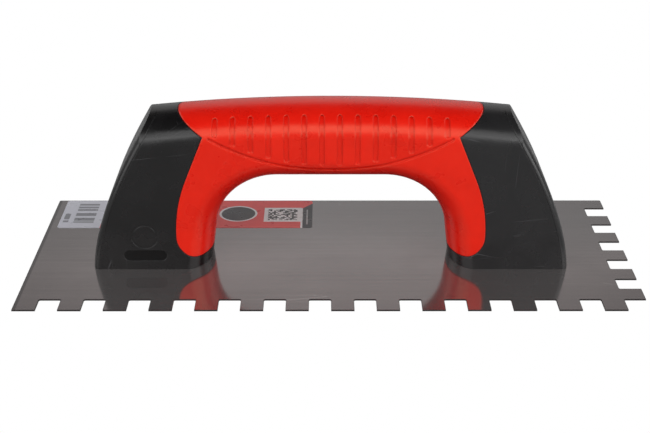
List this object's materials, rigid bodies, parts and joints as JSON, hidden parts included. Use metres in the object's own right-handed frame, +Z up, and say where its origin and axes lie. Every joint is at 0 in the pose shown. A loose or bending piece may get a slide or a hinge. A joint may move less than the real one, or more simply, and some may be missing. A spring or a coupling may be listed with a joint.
{
  "type": "notched trowel",
  "caption": "Notched trowel: rectangular steel blade toothed along one long and one short edge, under a D-shaped two-material handle.",
  "frame": {"origin": "centre of the blade's underside", "axes": "+X along the blade towards the notched short edge, -Y towards the notched long edge, +Z up through the handle"},
  "size_m": [0.28, 0.12, 0.0767],
  "materials": {
    "blade_steel": "cold-rolled, semi-mirror with a fine grain along the blade",
    "label_film": "printed self-adhesive film, satin",
    "black_plastic": "glass-filled polypropylene, fine satin texture",
    "red_grip": "soft thermoplastic elastomer, satin",
    "screw_steel": "zinc plated"
  },
  "bodies": {
    "root": {"blade": "blade_steel", "blade_label": "label_film", "handle_core": "black_plastic", "grip_overmould": "red_grip", "screw_left_inner_front": "screw_steel", "screw_left_inner_back": "screw_steel", "screw_left_outer_front": "screw_steel", "screw_left_outer_back": "screw_steel", "screw_right_inner_front": "screw_steel", "screw_right_inner_back": "screw_steel", "screw_right_outer_front": "screw_steel", "screw_right_outer_back": "screw_steel"}
  },
  "joints": []
}
